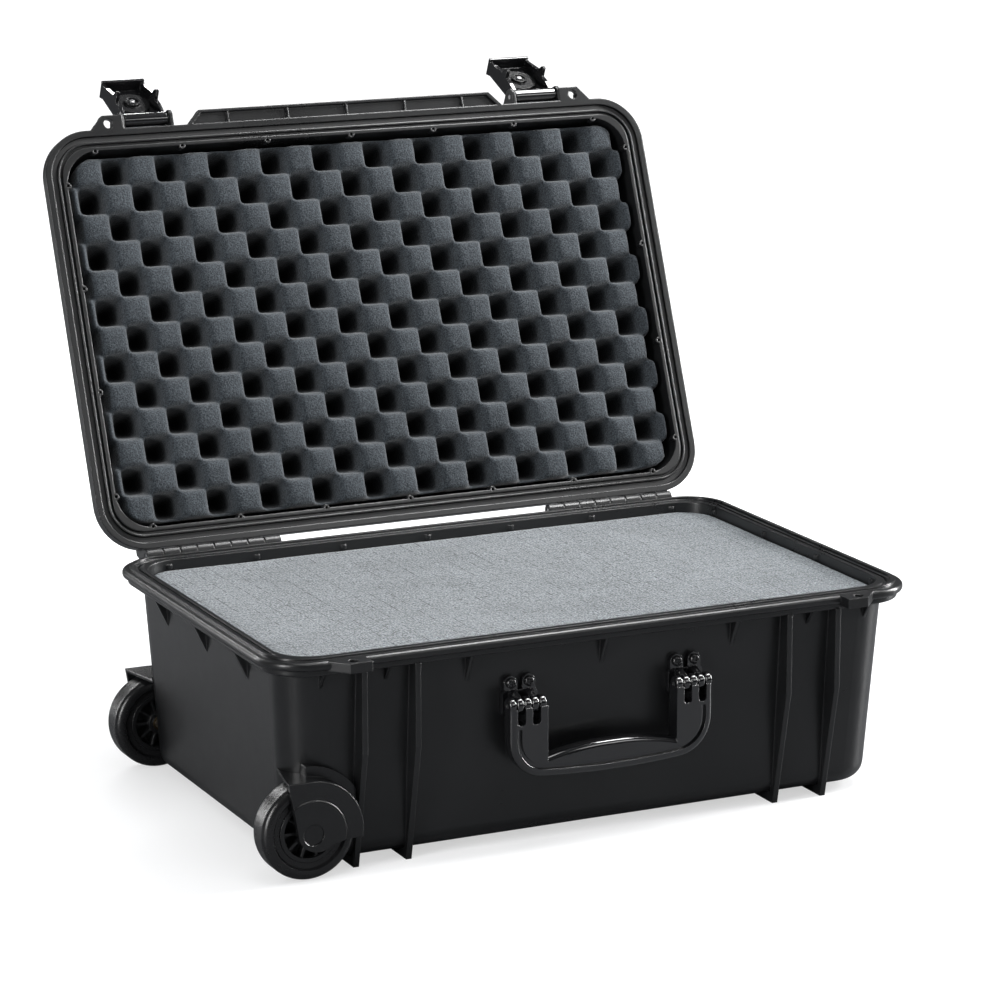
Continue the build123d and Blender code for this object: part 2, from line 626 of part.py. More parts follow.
def tyre(side):
    """Solid tyre with a stepped side wall and rounded shoulders."""
    middle = (TYRE_IN + TYRE_OUT) / 2
    half = (TYRE_OUT - TYRE_IN) / 2
    inner = HUB_R + 0.1
    side_line = [(inner, half - 2.5), (WHEEL_R - 9.5, half - 2.5), (WHEEL_R - 8, half),
                 (WHEEL_R - 6, half)]
    shoulder = ThreePointArc((WHEEL_R - 6, half), (WHEEL_R - 1.75, half - 1.75), (WHEEL_R, half - 6))
    upper = Polyline(*side_line) + shoulder
    lower = mirror(upper, about=Plane.XZ)
    tread = Line((WHEEL_R, half - 6), (WHEEL_R, -half + 6))
    bore = Line((inner, -half + 2.5), (inner, half - 2.5))
    profile = make_face(upper + tread + lower + bore)
    body = Pos(WHEEL_X, middle, WHEEL_Z) * revolve(profile, Axis.Y)
    return body if side > 0 else mirror(body, about=Plane.XZ)


def bush(side):
    """Plain bush pressed into the hub."""
    low = TYRE_IN + 1.0
    high = TYRE_OUT - 1.0
    sleeve = rod_y(BUSH_R, low, high, WHEEL_X, WHEEL_Z)
    sleeve = sleeve - rod_y(AXLE_R + RUNNING, 140, 180, WHEEL_X, WHEEL_Z)
    return sleeve if side > 0 else mirror(sleeve, about=Plane.XZ)


# ---- carry handles ------------------------------------------------------------------
GRIP_WALL = HALF_W - wall_inset(GRIP_Z)     # outside of the wall at the pivot's height
GRIP_Y = -(GRIP_WALL + GRIP_STAND)


def to_end(shape):
    """Turn a piece of the front handle to the +X end wall."""
    return Pos(END_SHIFT, 0, 0) * shape.rotate(Axis.Z, 90)


def arm_sections(side):
    """The five knuckle places across an arm, as (low, high) pairs."""
    x0 = side * ARM_MIDDLE - ARM_WIDTH / 2
    return [(x0 + i * GRIP_KNUCKLE + 0.25, x0 + (i + 1) * GRIP_KNUCKLE - 0.25) for i in range(5)]


def round_knuckle(low, high):
    """Short barrel on a handle's pin with rounded rims."""
    barrel = rod_x(KNUCKLE_END_R, low, high, GRIP_Y, GRIP_Z)
    return fillet(barrel.edges().filter_by(GeomType.CIRCLE), 1.9)


def grip_edge(inset):
    """Lower edge of a carry handle from its arm to the middle, moved in by a distance."""
    middle = GRIP_SPAN / 2 - GRIP_CORNER
    base = GRIP_Z - GRIP_DROP
    height = base + GRIP_BOW - math.sqrt((GRIP_BOW - GRIP_CORNER) ** 2 - middle ** 2)
    lean = math.asin(middle / (GRIP_BOW - GRIP_CORNER))
    radius = GRIP_CORNER - inset
    halfway = (lean - math.pi / 2) / 2
    corner = ThreePointArc((middle + radius, height),
                           (middle + radius * math.cos(halfway), height + radius * math.sin(halfway)),
                           (middle + radius * math.sin(lean), height - radius * math.cos(lean)))
    mid = (GRIP_BOW - inset) * math.sin(lean / 2)
    rise = (GRIP_BOW - inset) * (1 - math.cos(lean / 2))
    bottom = ThreePointArc(corner @ 1, (mid, base + inset + rise), (0, base + inset))
    return corner + bottom


def grip_outline():
    """Front view of a carry handle: two arms, round corners and an arched grip."""
    half = GRIP_SPAN / 2
    inner = half - ARM_WIDTH
    low = GRIP_Z - GRIP_DROP
    outside = grip_edge(0)
    arch = ThreePointArc((0, low + 25), (inner * 0.6, low + 23), (inner, low + 18.5))
    right = Polyline((inner, low + 18.5), (inner, GRIP_Z), (half, GRIP_Z), outside @ 0)
    face = make_face(outside + arch + right + Line((0, low), (0, low + 25)))
    return face + mirror(face, about=Plane.YZ)


def carry_grip():
    """Carry handle of the front, hanging down."""
    y0 = GRIP_Y - GRIP_THICK / 2
    front = Plane((0, y0, 0), x_dir=(1, 0, 0), z_dir=(0, -1, 0))
    body = extrude(front * grip_outline(), GRIP_THICK, dir=(0, 1, 0))
    body = fillet(body.edges().filter_by(GeomType.CIRCLE), 4.5)
    body = body - block((-GRIP_SPAN, GRIP_SPAN), (GRIP_Y - 20, GRIP_Y + 20),
                        (GRIP_Z - 1.5, GRIP_Z + 20))
    for side in (-1, 1):
        for i, (k0, k1) in enumerate(arm_sections(side)):
            if i % 2:
                window = block((k0 - 0.5, k1 + 0.5), (GRIP_Y - 9, GRIP_Y + 9),
                               (GRIP_Z - 15, GRIP_Z + 10))
                body = body - fillet(window.edges().filter_by(Axis.Y).group_by(Axis.Z)[0], 2.5)
            else:
                body = body + round_knuckle(k0, k1)
    behind = block((-GRIP_SPAN, GRIP_SPAN), (GRIP_Y + KNUCKLE_END_R, GRIP_Y + 20),
                   (GRIP_Z - 15, GRIP_Z + 20))
    body = body - behind - extrude(front * grip_groove(), 2.4, dir=(0, 1, 0))
    return body - rod_x(GRIP_PIN_R + RUNNING, -GRIP_SPAN, GRIP_SPAN, GRIP_Y, GRIP_Z)


def grip_groove():
    """Groove that runs just inside the outer edge of a carry handle."""
    start = GRIP_Z - 18.0
    lines = []
    for inset in (6.5, 10.0):
        edge = grip_edge(inset)
        lines.append(Line((GRIP_SPAN / 2 - inset, start), edge @ 0) + edge)
    low = GRIP_Z - GRIP_DROP
    ends = (Line((GRIP_SPAN / 2 - 6.5, start), (GRIP_SPAN / 2 - 10, start))
            + Line((0, low + 6.5), (0, low + 10)))
    face = make_face(lines[0] + lines[1] + ends)
    return face + mirror(face, about=Plane.YZ)


def bracket(side):
    """Bracket on the wall: two fingers that end in screw ears above and lugs on the pin."""
    middle = side * ARM_MIDDLE
    y0, y1 = -GRIP_WALL - 5.0, -GRIP_WALL + 3
    body = block((middle - ARM_WIDTH / 2 + 1, middle + ARM_WIDTH / 2 - 1), (y0, y1),
                 (GRIP_Z - 11, GRIP_Z + 9))
    body = fillet(body.edges().filter_by(Axis.Y), 3.0)
    for x in bracket_screw_x(side):
        body = body + block((x - 5.6, x + 5.6), (y0, y1), (GRIP_Z, BRACKET_SCREW_Z))
        body = body + rod_y(5.6, y0, y1, x, BRACKET_SCREW_Z)
    for i, (k0, k1) in enumerate(arm_sections(side)):
        if i % 2:
            points = [(GRIP_Y - 1, GRIP_Z - 6.2), (GRIP_Y + 1, GRIP_Z + 6.2),
                      (-GRIP_WALL - 3, GRIP_Z + 10), (-GRIP_WALL - 3, GRIP_Z - 10)]
            lug = plate_x(points, (k0 + k1) / 2, k1 - k0)
            body = body + lug + round_knuckle(k0, k1)
    body = body - base_outer(CLEAR)
    bore = rod_x(GRIP_PIN_R + RUNNING, middle - ARM_WIDTH, middle + ARM_WIDTH, GRIP_Y, GRIP_Z)
    body = body - bore
    for x in bracket_screw_x(side):
        body = body - rod_y(BRACKET_SCREW_R + RUNNING, -HALF_W, -100, x, BRACKET_SCREW_Z)
    return body.solids().sort_by(SortBy.VOLUME)[-1]


def bracket_screw_x(side):
    """Two screws over each bracket's lugs."""
    return [side * ARM_MIDDLE - BRACKET_SCREW_GAP, side * ARM_MIDDLE + BRACKET_SCREW_GAP]


def front_screw_shaft(x, grow):
    """Threaded length of a bracket screw."""
    return rod_y(BRACKET_SCREW_R + grow, -GRIP_WALL - 5.6, -GRIP_WALL + 3.9 + grow, x, BRACKET_SCREW_Z)


def bracket_shafts(grow):
    """All bracket screw shafts, at the front and at the end."""
    shafts = []
    for side in (-1, 1):
        for x in bracket_screw_x(side):
            shaft = front_screw_shaft(x, grow)
            shafts.append(shaft)
            shafts.append(to_end(shaft))
    return shafts


def bracket_screws():
    """Domed screws of the front brackets, each with a cross recess."""
    screws = []
    y0 = -GRIP_WALL - 5.2
    for side in (-1, 1):
        for x in bracket_screw_x(side):
            head = rod_y(4.2, y0 - 3.0, y0, x, BRACKET_SCREW_Z)
            head = fillet(head.edges().sort_by(Axis.Y)[0], 2.2)
            for wide, high in ((2.3, 0.55), (0.55, 2.3)):
                head = head - block((x - wide, x + wide), (y0 - 4, y0 - 1.6),
                                    (BRACKET_SCREW_Z - high, BRACKET_SCREW_Z + high))
            screws.append(head + front_screw_shaft(x, 0.0))
    return screws


def grip_pins():
    """Two pins that hold a carry handle in its brackets."""
    pins = []
    for side in (-1, 1):
        x0 = side * ARM_MIDDLE - ARM_WIDTH / 2 + 0.6
        pins.append(rod_x(GRIP_PIN_R, x0, x0 + ARM_WIDTH - 1.2, GRIP_Y, GRIP_Z))
    return pins


# ---- pressure valve -----------------------------------------------------------------
def valve_body():
    """Purge valve through the end wall: a knob outside and a threaded stem."""
    wall = HALF_L - wall_inset(VALVE_Z)
    knob = rod_x(VALVE_KNOB_R, wall + 2.9, wall + 9.5, VALVE_Y, VALVE_Z)
    knob = fillet(knob.edges().sort_by(Axis.X)[-1], 1.5)
    for i in range(8):
        flute = rod_x(1.6, wall + 2, wall + 12, VALVE_Y + VALVE_KNOB_R + 0.6, VALVE_Z)
        knob = knob - flute.rotate(Axis((0, VALVE_Y, VALVE_Z), (1, 0, 0)), 45 * i)
    return knob + rod_x(VALVE_STEM_R, wall - 4.5, wall + 3, VALVE_Y, VALVE_Z)


def valve_seal():
    """O-ring between the valve's knob and the wall."""
    wall = HALF_L - wall_inset(VALVE_Z)
    seal = rod_x(9.6, wall + 0.9, wall + 2.7, VALVE_Y, VALVE_Z)
    return seal - rod_x(VALVE_STEM_R + 0.2, wall, wall + 4, VALVE_Y, VALVE_Z)


# ---- foam of the base ---------------------------------------------------------------
def foam_layer(low, high):
    """Foam slab that follows the tub's walls."""
    inset_low = wall_inset(low) + FOAM_GAP
    inset_high = wall_inset(high) + FOAM_GAP
    body = loft([plan(inset_low, inset_low, FOAM_CORNER - 1.5, low),
                 plan(inset_high, inset_high, FOAM_CORNER, high)], ruled=True)
    for side in (-1, 1):
        y0, y1 = sorted((side * 127.5, side * 200))
        body = body - rod_y(LINER_R + 2.5, y0, y1, WHEEL_X, WHEEL_Z)
        body = body - block((WHEEL_X - 60, WHEEL_X + LINER_R + 2.5), (y0, y1), (0, WHEEL_Z))
    return body


def base_foam():
    """Block of foam that fills the tub."""
    return foam_layer(PAD_TOP + CLEAR, FOAM_TOP)


def base_pad():
    """Floor pad that fits round the pull handle's hump."""
    return foam_layer(PAD_LOW, PAD_TOP) - handle_hump(0.6)


# ---- lid, drawn closed --------------------------------------------------------------
def lid_outer():
    """Lid skin without its rim: upright side, sloped edge and flat top."""
    levels = [plan(TOP_INSET, TOP_INSET, 34.0, LID_Z + 2), plan(18.5, 17.0, 32.0, LID_TOP - 19),
              plan(36.0, 32.0, 26.0, LID_TOP - 3.5), plan(44.0, 38.0, 22.0, LID_TOP)]
    body = loft(levels[:2], ruled=True)
    body = body + loft(levels[1:3], ruled=True)
    return body + loft(levels[2:], ruled=True)


def lid_hollow():
    """Inside of the lid."""
    wall = WALL - 0.5
    levels = [plan(TOP_INSET + wall, TOP_INSET + wall, 30.5, LID_Z - 2),
              plan(18.5 + wall, 17.0 + wall, 28.5, LID_TOP - 19 - 1.5),
              plan(36.0 + 2, 32.0 + 2, 24.0, LID_TOP - 3.5 - wall)]
    return loft(levels[:2], ruled=True) + loft(levels[1:], ruled=True)


def lid_side_line(out):
    """Outline of the lid's front half in section, moved out by a distance."""
    return [(-(HALF_W - 40), LID_TOP + out), (-(HALF_W - 38 + out * 0.3), LID_TOP + out),
            (-(HALF_W - 32 + out * 0.7), LID_TOP - 3.5 + out * 0.8),
            (-(HALF_W - 17 + out), LID_TOP - 19 + out * 0.4), (-(HALF_W - 14 + out), LID_BAND_Z)]


def across_rib(x):
    """Shallow rib that runs right over the lid from front to back."""
    rise = 2.0
    front = lid_side_line(rise)
    back = [(-y, z) for y, z in reversed(front)]
    under = [(HALF_W - 17, LID_BAND_Z - 1), (HALF_W - 34, LID_TOP - 6),
             (-(HALF_W - 34), LID_TOP - 6), (-(HALF_W - 17), LID_BAND_Z - 1)]
    return plate_x(front + back + under, x, ACROSS_RIB)


def latch_rib(x):
    """Lid rib that carries a latch pin: over the sloped edge and out round the pin."""
    points = [(-(HALF_W - 60), LID_TOP - 5), (-(HALF_W - 58), LID_TOP + 1.5),
              (-(HALF_W - 38), LID_TOP + 1.5), (-(HALF_W - 13), LID_TOP - 20),
              (LATCH_Y - 6.5, LATCH_Z + 4), (LATCH_Y - 6.5, LATCH_Z - 4), (LATCH_Y - 3, LATCH_Z - 7),
              (-(HALF_W - 16), LATCH_Z - 7), (-(HALF_W - 17), LID_TOP - 21),
              (-(HALF_W - 34), LID_TOP - 5)]
    return plate_x(points, x, LID_RIB)


def hinge_rib(x):
    """Fin on the hinge side of the lid."""
    points = [(HALF_W - 60, LID_TOP - 5), (HALF_W - 58, LID_TOP + 1.5), (HALF_W - 38, LID_TOP + 1.5),
              (HALF_W - 10, LID_TOP - 17), (HALF_W + 2.5, LID_TOP - 26), (HALF_W + 2.5, LID_BAND_Z),
              (HALF_W - 16, LID_BAND_Z - 2), (HALF_W - 17, LID_TOP - 21), (HALF_W - 34, LID_TOP - 5)]
    return plate_x(points, x, LID_RIB)


def lid_ribs():
    """Every rib of the lid."""
    ribs = []
    for side in (-1, 1):
        for offset in (-LATCH_RIB, LATCH_RIB):
            ribs.append(latch_rib(side * LATCH_X + offset))
            ribs.append(hinge_rib(side * LATCH_X + offset))
        for x in (101.0, 224.0):
            ribs.append(across_rib(side * x))
    return ribs


def lid_end_gussets():
    """Triangular gussets between the lid's ends and the rim."""
    gussets = []
    for y in (-78, 0, 78):
        points = [(HALF_L - 17, LID_BAND_Z - 1), (HALF_L - 3, LID_BAND_Z - 1),
                  (HALF_L - 14, LID_BAND_Z + 20), (HALF_L - 40, LID_TOP - 3), (HALF_L - 42, LID_TOP - 6)]
        right = plate_y(points, y - 1.4, y + 1.4)
        gussets.append(right)
        gussets.append(mirror(right, about=Plane.YZ))
    return gussets


def lid_recesses():
    """Shallow recesses in the lid's top between the ribs."""
    cuts = []
    for side in (-1, 1):
        half = LATCH_RIB - 1.5
        x0 = side * LATCH_X - half
        x1 = side * LATCH_X + half
        cuts.append(block((x0, x1), (-(HALF_W - 20), -(HALF_W - 62)), (LID_TOP - 1.4, LID_TOP + 1)))
        cuts.append(block((x0, x1), (HALF_W - 62, HALF_W - 20), (LID_TOP - 1.4, LID_TOP + 1)))
    return cuts


def lid_lip():
    """Finger lip along the front of the lid: a thin shelf with a raised outer edge."""
    back = HALF_W - 3
    out = HALF_W + 12
    outline = [(-150, -back), (-136, -out), (136, -out), (150, -back)]
    inside = [(-145, -back - 1), (-134, -out + 2.4), (134, -out + 2.4), (145, -back - 1)]
    edge = plate_z(outline, LID_Z, LID_Z + 6.5) - plate_z(inside, LID_Z - 1, LID_Z + 8)
    pieces = [edge, plate_z(outline, LID_Z + 3.2, LID_Z + 5.4)]
    for x in (-110, -55, 0, 55, 110):
        pieces.append(block((x - 0.9, x + 0.9), (-out + 1, -back), (LID_Z + 0.6, LID_Z + 4)))
    return pieces


def lid_knuckles():
    """Hinge knuckles on the lid, between those of the base. The outermost has a tall lug."""
    knuckles = []
    for side in (-1, 1):
        for i in range(1, KNUCKLES, 2):
            x0 = HINGE_START + i * KNUCKLE_PITCH + CLEAR
            x1 = x0 + KNUCKLE_PITCH - 2 * CLEAR
            ends = sorted((side * x0, side * x1))
            knuckles.append(rod_x(KNUCKLE_R, ends[0], ends[1], HINGE_Y, HINGE_Z))
            points = [(HALF_W - 8, LID_Z + 0.4), (HALF_W, LID_Z + 0.4), (HINGE_Y, HINGE_Z),
                      (HINGE_Y, HINGE_Z + KNUCKLE_R), (HALF_W - 3, LID_BAND_Z - 1),
                      (HALF_W - 8, LID_BAND_Z - 1)]
            if i == KNUCKLES - 1:
                points[3:5] = [(HINGE_Y + 5, HINGE_Z), (HINGE_Y + 5, HINGE_Z + 9),
                               (HALF_W + 2, LID_BAND_Z + 8), (HALF_W - 14, LID_BAND_Z + 8)]
            knuckles.append(plate_x(points, (ends[0] + ends[1]) / 2, ends[1] - ends[0]))
    return knuckles


def lid_shell():
    """Lid of the case, moulded in one piece."""
    band = slab(0, RIM_RADIUS, LID_Z, LID_BAND_Z)
    band = fillet(band.edges().group_by(Axis.Z)[-1], EDGE_ROUND)
    shell = lid_outer() + band
    for piece in lid_ribs() + lid_end_gussets() + lid_lip() + lid_knuckles():
        shell = shell + piece
    for side in (-1, 1):
        shell = shell + ear(side * EAR_X, LID_Z, LID_Z + 8)
    for cut in lid_recesses():
        shell = shell - cut
    shell = shell - lid_hollow()
    shell = shell - ring(SEAL_GROOVE, LID_Z - 1, LID_Z + 6)
    shell = shell - ring(SECOND_GROOVE, LID_Z - 1, LID_Z + 3)
    shell = shell - hinge_bore()
    for x, y in around_rim(BOSS_STEP, TOP_INSET + WALL, RIM_RADIUS + 6):
        boss = rod_z(BOSS_R, LID_Z, LID_Z + 7, x, y)
        shell = shell + boss - rod_z(BOSS_HOLE_R, LID_Z - 1, LID_Z + 6, x, y)
    for side in (-1, 1):
        shell = shell - rod_z(EAR_HOLE_R, LID_Z - 5, LID_Z + 20, side * EAR_X, EAR_Y)
    shell = shell - rod_x(LATCH_PIN_R + RUNNING, -HALF_L, HALF_L, LATCH_Y, LATCH_Z)
    return shell.solids().sort_by(SortBy.VOLUME)[-1]


def lid_gasket():
    """Rubber seal in the lid's groove."""
    inset = (SEAL_GROOVE[0] + 0.3, SEAL_GROOVE[1] - 0.3)
    return ring(inset, LID_Z + 2.6, LID_Z + 5.8)


def lid_foam():
    """Foam pad of the lid."""
    levels = [plan(21.4, 21.4, 26.0, LID_Z + 1.5), plan(25.0, 23.5, 24.0, LID_TOP - 23),
              plan(43, 39, 20.0, LID_TOP - 9)]
    return loft(levels[:2], ruled=True) + loft(levels[1:], ruled=True)


def lid_label():
    """Blank plate on the lid's top."""
    card = block((-49, 43), (78, 121), (LID_TOP + 0.05, LID_TOP + 0.6))
    return fillet(card.edges().filter_by(Axis.Z), 2.0)


# ---- latches, drawn closed ----------------------------------------------------------
def latch_lever(side):
    """Flip-over latch: barrel, skin with a round window, two cheeks with hooks, end flange."""
    x = side * LATCH_X
    foot = LATCH_Z - LATCH_REACH
    face = LATCH_Y - 7.5
    barrel = rod_x(6.0, x - LATCH_HALF, x + LATCH_HALF, LATCH_Y, LATCH_Z)
    skin = plate_x([(LATCH_Y - 6, LATCH_Z), (face, LATCH_Z - 10), (face, foot + 8),
                    (face - 2.5, foot), (face + 4, foot), (face + 4, LATCH_Z - 7),
                    (LATCH_Y, LATCH_Z)], x, 2 * LATCH_HALF)
    flange = block((x - LATCH_HALF, x + LATCH_HALF), (face - 2, LATCH_Y + 6.5), (foot, foot + 2.8))
    flange = fillet(flange.edges().filter_by(Axis.X), 1.0)
    lever = barrel + skin + flange
    hook = [(LATCH_Y - 3, LATCH_Z), (LATCH_Y + 4.5, LATCH_Z - 3), (LATCH_Y + 6.5, LATCH_Z - 12),
            (LATCH_Y + 6.5, BAND_Z - 1), (LATCH_Y + 15, BAND_Z - 1), (LATCH_Y + 15, BAND_Z - 4),
            (LATCH_Y + 9, BAND_Z - 9), (LATCH_Y + 4, foot + 6), (LATCH_Y + 4, foot + 1),
            (face + 2, foot + 1), (face + 2, LATCH_Z - 8)]
    for edge in (-1, 1):
        lever = lever + plate_x(hook, x + edge * (LATCH_HALF - 1.5), 3.0)
    knob_z = RIM_Z - KNOB_DROP
    lever = lever - rod_y(KNOB_R + 0.6, LATCH_Y - 20, LATCH_Y + 3, x, knob_z)
    return lever - rod_x(LATCH_PIN_R + RUNNING, x - 30, x + 30, LATCH_Y, LATCH_Z)


def latch_pin(side):
    """Pin of a latch, through both lid ribs."""
    x = side * LATCH_X
    reach = LATCH_RIB + 1.5
    return rod_x(LATCH_PIN_R, x - reach, x + reach, LATCH_Y, LATCH_Z)


def latch_knob(side):
    """Turning lock knob in the latch's round window, with a ring on its back."""
    x = side * LATCH_X
    z = RIM_Z - KNOB_DROP
    disc = rod_y(KNOB_R, LATCH_Y - 8.0, LATCH_Y - 3.0, x, z)
    disc = fillet(disc.edges().sort_by(Axis.Y)[0], 1.0)
    collar = rod_y(KNOB_R + 1.6, LATCH_Y - 3.1, LATCH_Y - 1.6, x, z)
    bar = block((x - 11, x + 11), (LATCH_Y - 10.6, LATCH_Y - 7), (z - 2.4, z + 2.4))
    bar = fillet(bar.edges().filter_by(Axis.Y), 2.2)
    back = rod_y(KNOB_BACK_R, LATCH_Y - 2, LATCH_Y + 0.6, x, z)
    back = back - rod_y(KNOB_BACK_R - 1.8, LATCH_Y - 0.6, LATCH_Y + 2, x, z)
    return disc + collar + bar + back - rod_y(1.4, LATCH_Y - 5, LATCH_Y + 2, x, z)


def knob_rivet(side):
    """Domed rivet in the middle of a knob's back."""
    x = side * LATCH_X
    z = RIM_Z - KNOB_DROP
    head = rod_y(RIVET_R, LATCH_Y - 0.5, LATCH_Y + 1.1, x, z)
    head = fillet(head.edges().sort_by(Axis.Y)[-1], 1.2)
    return head + rod_y(1.3, LATCH_Y - 4.8, LATCH_Y - 0.4, x, z)


# ---- write every node ---------------------------------------------------------------
def hinge_pins():
    """One pin through each row of knuckles."""
    pins = []
    for side in (-1, 1):
        start = HINGE_START + 2 * CLEAR
        end = HINGE_START + KNUCKLES * KNUCKLE_PITCH - 2 * CLEAR
        x0, x1 = sorted((side * start, side * end))
        pins.append(rod_x(HINGE_PIN_R, x0, x1, HINGE_Y, HINGE_Z))
    return pins


def write_base():
    """Everything that stays with the tub."""
    save("base_shell", base_shell())
    save("channel_cover", channel_cover())
    save("cover_screws", *cover_screws())
    save("base_foam", base_foam())
    save("base_pad", base_pad())
    save("valve_body", valve_body())
    save("valve_seal", valve_seal())
    save("hinge_pins", *hinge_pins())
    for side, end in ((-1, "front"), (1, "rear")):
        save("wheel_housing_" + end, fender(side))
        save("housing_screws_" + end, *fender_screws(side))
        save("axle_" + end, axle(side))
        save("axle_clip_" + end, axle_clip(side))
        save("wheel_hub_" + end, wheel_hub(side))
        save("tyre_" + end, tyre(side))
        save("wheel_bush_" + end, bush(side))


def write_handles():
    """Carry handles and pull handle."""
    grip = carry_grip()
    pins = grip_pins()
    screws = bracket_screws()
    brackets = [bracket(-1), bracket(1)]
    save("front_handle", grip)
    save("front_handle_pins", *pins)
    save("front_brackets", *brackets)
    save("front_bracket_screws", *screws)
    save("end_handle", to_end(grip))
    save("end_handle_pins", *[to_end(pin) for pin in pins])
    save("end_brackets", *[to_end(piece) for piece in brackets])
    save("end_bracket_screws", *[to_end(screw) for screw in screws])
    save("pull_handle", pull_handle())
    save("handle_trigger", handle_trigger())
    save("trigger_springs", *trigger_springs())
    save("blade_bumpers", *blade_bumpers())


def write_lid():
    """Lid pieces and latches at their open places."""
    save("lid_shell", open_lid(lid_shell()))
    save("lid_gasket", open_lid(lid_gasket()))
    save("lid_foam", open_lid(lid_foam()))
    save("lid_label", open_lid(lid_label()))
    for side, end in ((-1, "left"), (1, "right")):
        save("latch_pin_" + end, open_lid(latch_pin(side)))
        save("latch_" + end, open_latch(latch_lever(side)))
        save("latch_knob_" + end, open_latch(latch_knob(side)))
        save("knob_rivet_" + end, open_latch(knob_rivet(side)))


os.makedirs("parts", exist_ok=True)
write_base()
write_handles()
write_lid()
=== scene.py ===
"""Looks of the wheeled hard equipment case: foam, materials, studio and camera.

Everything is in metres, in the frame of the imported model.
"""
import bmesh
import bpy
import json
import math
from mathutils import Matrix, Vector, noise


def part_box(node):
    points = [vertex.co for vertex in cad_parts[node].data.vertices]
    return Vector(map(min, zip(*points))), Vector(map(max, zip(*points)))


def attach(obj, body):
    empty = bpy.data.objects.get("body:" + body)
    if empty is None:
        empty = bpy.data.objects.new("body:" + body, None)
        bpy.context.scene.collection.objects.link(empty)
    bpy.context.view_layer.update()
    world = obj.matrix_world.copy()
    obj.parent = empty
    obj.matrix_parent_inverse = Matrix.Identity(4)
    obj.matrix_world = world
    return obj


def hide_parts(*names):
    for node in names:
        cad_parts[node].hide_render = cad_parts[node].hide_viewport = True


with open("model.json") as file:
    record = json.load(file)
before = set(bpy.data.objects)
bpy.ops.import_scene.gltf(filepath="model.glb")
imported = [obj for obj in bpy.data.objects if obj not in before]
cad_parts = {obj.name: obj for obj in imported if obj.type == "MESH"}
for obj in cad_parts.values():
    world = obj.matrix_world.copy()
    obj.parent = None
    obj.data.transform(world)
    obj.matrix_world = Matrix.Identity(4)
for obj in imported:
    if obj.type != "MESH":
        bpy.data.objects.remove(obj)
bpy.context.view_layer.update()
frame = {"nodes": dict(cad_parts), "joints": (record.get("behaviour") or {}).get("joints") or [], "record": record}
MM = 0.001


# ---- places taken from the frame ----------------------------------------------------
JOINTS = {joint["name"]: joint for joint in frame["joints"]}


def rest_of_lid():
    """Matrix that takes a point of the closed lid to its place at rest."""
    hinge = JOINTS["lid_hinge"]
    pivot = Vector(hinge["pos_m"])
    swing = Matrix.Rotation(-math.radians(hinge["range_deg"][1]), 4, Vector(hinge["axis"]))
    return Matrix.Translation(pivot) @ swing @ Matrix.Translation(-pivot)


LID_REST = rest_of_lid()
LID_Z = 172.4 * MM                  # rim plane of the closed lid

# convoluted foam of the lid
LID_FACE_Z = LID_Z + 2.6 * MM       # level of the peaks
PEAK_PITCH = 48 * MM                # two blocks along one row
PEAK_SHARP = 1.9                    # how square the blocks' shoulders are
PEAK_NARROW = 3.0                   # a higher power gives narrower valleys
PEAK_DEPTH = 31 * MM
PEAK_CROWN = 1.5 * MM               # fall from a block's middle to its shoulders
FOAM_BACKING = 5 * MM               # solid foam behind the valleys
VALLEY_LIMIT = 4 * MM               # most that crown and roughness add to the depth
LID_FOAM_FACE = (257.6 * MM, 156.2 * MM)
LID_FOAM_BACK = (254.0 * MM, 154.0 * MM)
LID_FOAM_RADIUS = 25 * MM
LID_FOAM_EDGE = 4 * MM              # rounding drop along the pad's edge
LID_FOAM_ROUGH = 0.5 * MM           # unevenness of the moulded face
SHADE_START = 0.22                  # share of the depth where the painted shade of the valleys starts

# foam of the base
CUT_PITCH = 14.5 * MM               # precut grid
BASE_FOAM_TOP = (260.2 * MM, 158.8 * MM)
BASE_FOAM_CUT = (256.0 * MM, 154.5 * MM)
BASE_FOAM_RADIUS = 30.5 * MM
BASE_FOAM_SPLIT = 96 * MM           # above the wheel wells
BASE_FOAM_SINK = 0.6 * MM           # top of the foam below the top of its CAD solid
BASE_FOAM_EDGE = 1.1 * MM           # rounding drop along the top's edge
LAYER_GAP = 0.2 * MM                # between the two layers
BASE_FOAM_SWELL = 0.5 * MM          # slow rise and fall of the top
BASE_FOAM_GRAIN = 0.12 * MM         # fine unevenness of the top
PAD_EDGE = 1.5 * MM                 # rounding of the floor pad

# camera
CAMERA_PLACE = (-1.310, -2.703, 0.950)
CAMERA_TARGET = (0.020, 0.060, 0.218)
CAMERA_LENS = 138.0


